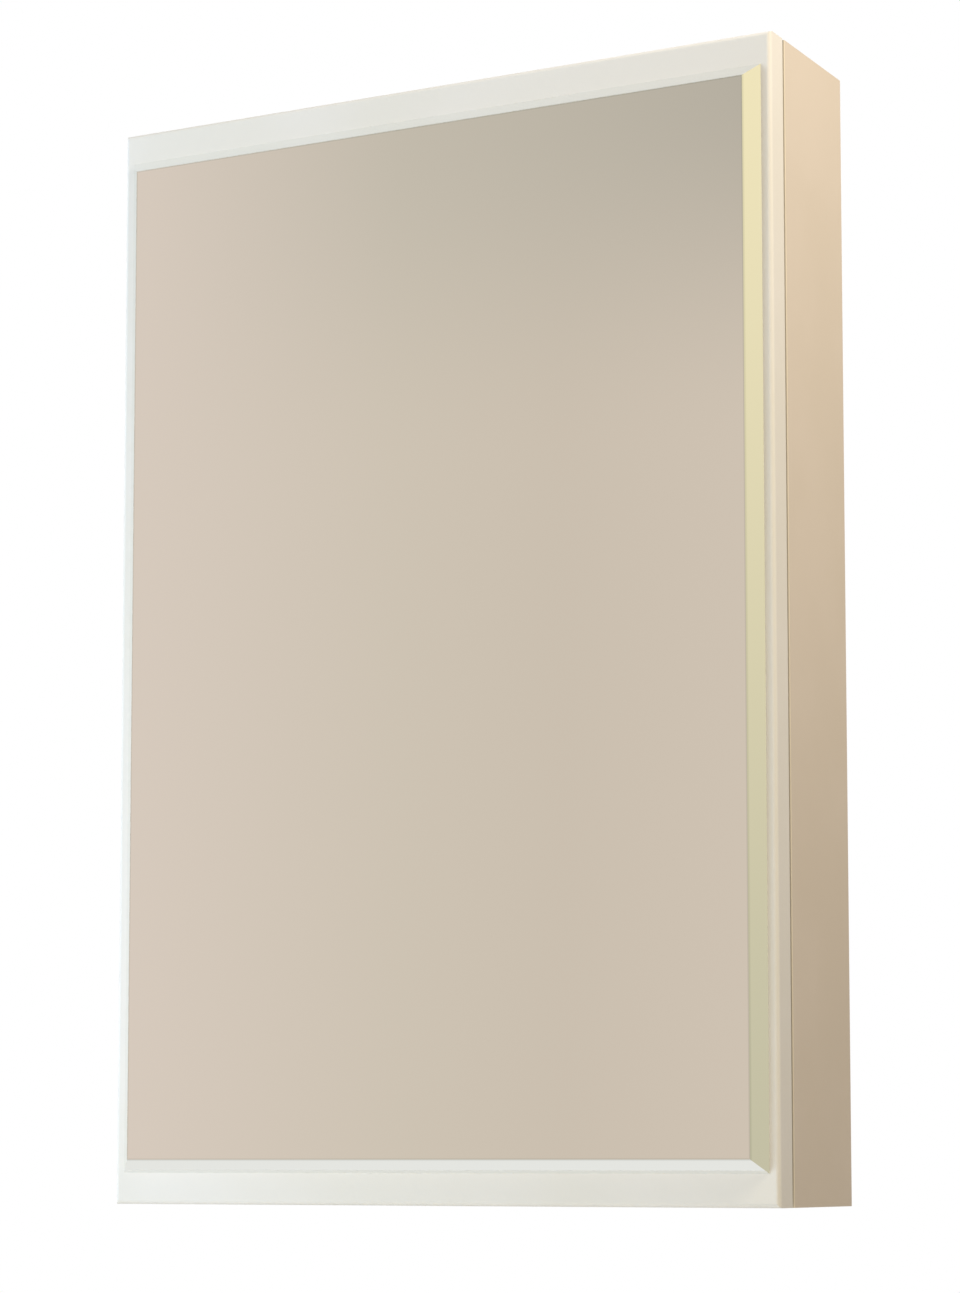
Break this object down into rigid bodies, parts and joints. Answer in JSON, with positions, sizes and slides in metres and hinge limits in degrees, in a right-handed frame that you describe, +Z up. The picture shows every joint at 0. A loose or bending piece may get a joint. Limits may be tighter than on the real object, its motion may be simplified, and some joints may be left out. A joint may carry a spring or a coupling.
{
  "type": "mirror cabinet",
  "caption": "Wall-hung mirror cabinet with a flush white door, a raised mirror with mitred mirrored bevels, concealed link hinges, push latch and glass shelves.",
  "frame": {"origin": "on the wall plane, midway between the two keyholes in the back", "axes": "+Z up, +Y into the wall, +X to the right seen from the front, so the mirror faces -Y"},
  "size_m": [0.5, 0.13, 0.76],
  "materials": {
    "white_lacquer": "satin white lacquer on fibreboard",
    "mirror": "silvered glass",
    "mirror_board": "fibreboard",
    "cream_board": "cream melamine-faced board",
    "edge_band": "cream edging",
    "back_board": "white faced fibreboard",
    "rail_board": "cream melamine-faced board",
    "glass": "clear float glass",
    "zinc": "zinc die casting",
    "steel": "bright zinc plated steel",
    "nickel": "nickel plated steel",
    "beech": "beech",
    "white_plastic": "moulded plastic",
    "grey_plastic": "moulded plastic",
    "clear_rubber": "soft clear rubber",
    "magnet": "nickel coated magnet"
  },
  "bodies": {
    "cabinet": {"side_panel_left": "cream_board", "side_panel_right": "cream_board", "top_panel": "cream_board", "bottom_panel": "cream_board", "back_panel": "back_board", "hanging_rail": "rail_board", "lower_rail": "rail_board", "edge_band_left": "edge_band", "edge_band_right": "edge_band", "edge_band_top": "edge_band", "edge_band_bottom": "edge_band", "cam_locks": "zinc", "cam_bolts": "steel", "cam_caps": "white_plastic", "wood_dowels": "beech", "shelf_pins": "nickel", "shelf_pin_sleeves": "clear_rubber", "glass_shelf_upper": "glass", "glass_shelf_lower": "glass", "keyhole_plate_left": "steel", "keyhole_plate_right": "steel", "keyhole_plate_screws": "steel", "hinge_plate_upper": "nickel", "hinge_plate_lower": "nickel", "hinge_arm_upper": "nickel", "hinge_arm_lower": "nickel", "hinge_plate_screws": "steel", "hinge_adjust_screws": "steel", "hinge_arm_pins": "steel", "latch_housing": "grey_plastic", "latch_screws": "steel"},
    "outer_links": {"hinge_outer_links_upper": "nickel", "hinge_outer_links_lower": "nickel"},
    "inner_links": {"hinge_inner_link_upper": "nickel", "hinge_inner_link_lower": "nickel"},
    "plunger": {"latch_plunger": "white_plastic", "latch_magnet": "magnet"},
    "door": {"door_panel": "white_lacquer", "mirror_backing": "mirror_board", "mirror_glass": "mirror", "bevel_strip_top": "mirror", "bevel_strip_bottom": "mirror", "bevel_strip_left": "mirror", "bevel_strip_right": "mirror", "hinge_cup_upper": "nickel", "hinge_cup_lower": "nickel", "hinge_cup_pins": "steel", "hinge_cup_screws": "steel", "door_bumpers": "clear_rubber", "latch_strike": "steel", "latch_strike_screws": "steel"}
  },
  "joints": [
    {"name": "outer_link_swing", "type": "hinge", "parent": "cabinet", "child": "outer_links", "pos_m": [-0.2185, -0.097, -0.325], "axis": [0, 0, -1], "range_deg": [-26.65, 0.05]},
    {"name": "door_swing", "type": "hinge", "parent": "outer_links", "child": "door", "pos_m": [-0.2398, -0.1024, -0.325], "axis": [0, 0, -1], "range_deg": [0, 121.6]},
    {"name": "inner_link_swing", "type": "hinge", "parent": "cabinet", "child": "inner_links", "pos_m": [-0.2298, -0.1082, -0.325], "axis": [0, 0, -1], "range_deg": [-23.8, 0.05]},
    {"name": "plunger_slide", "type": "slide", "parent": "cabinet", "child": "plunger", "axis": [0, -1, 0], "range_m": [0, 0.0141]}
  ],
  "couplings": [
    {"joint": "outer_link_swing", "follows": "door_swing", "ratio": -0.21875},
    {"joint": "inner_link_swing", "follows": "door_swing", "ratio": -0.19531},
    {"joint": "plunger_slide", "follows": "door_swing", "m_per_rad": 0.0065965}
  ]
}
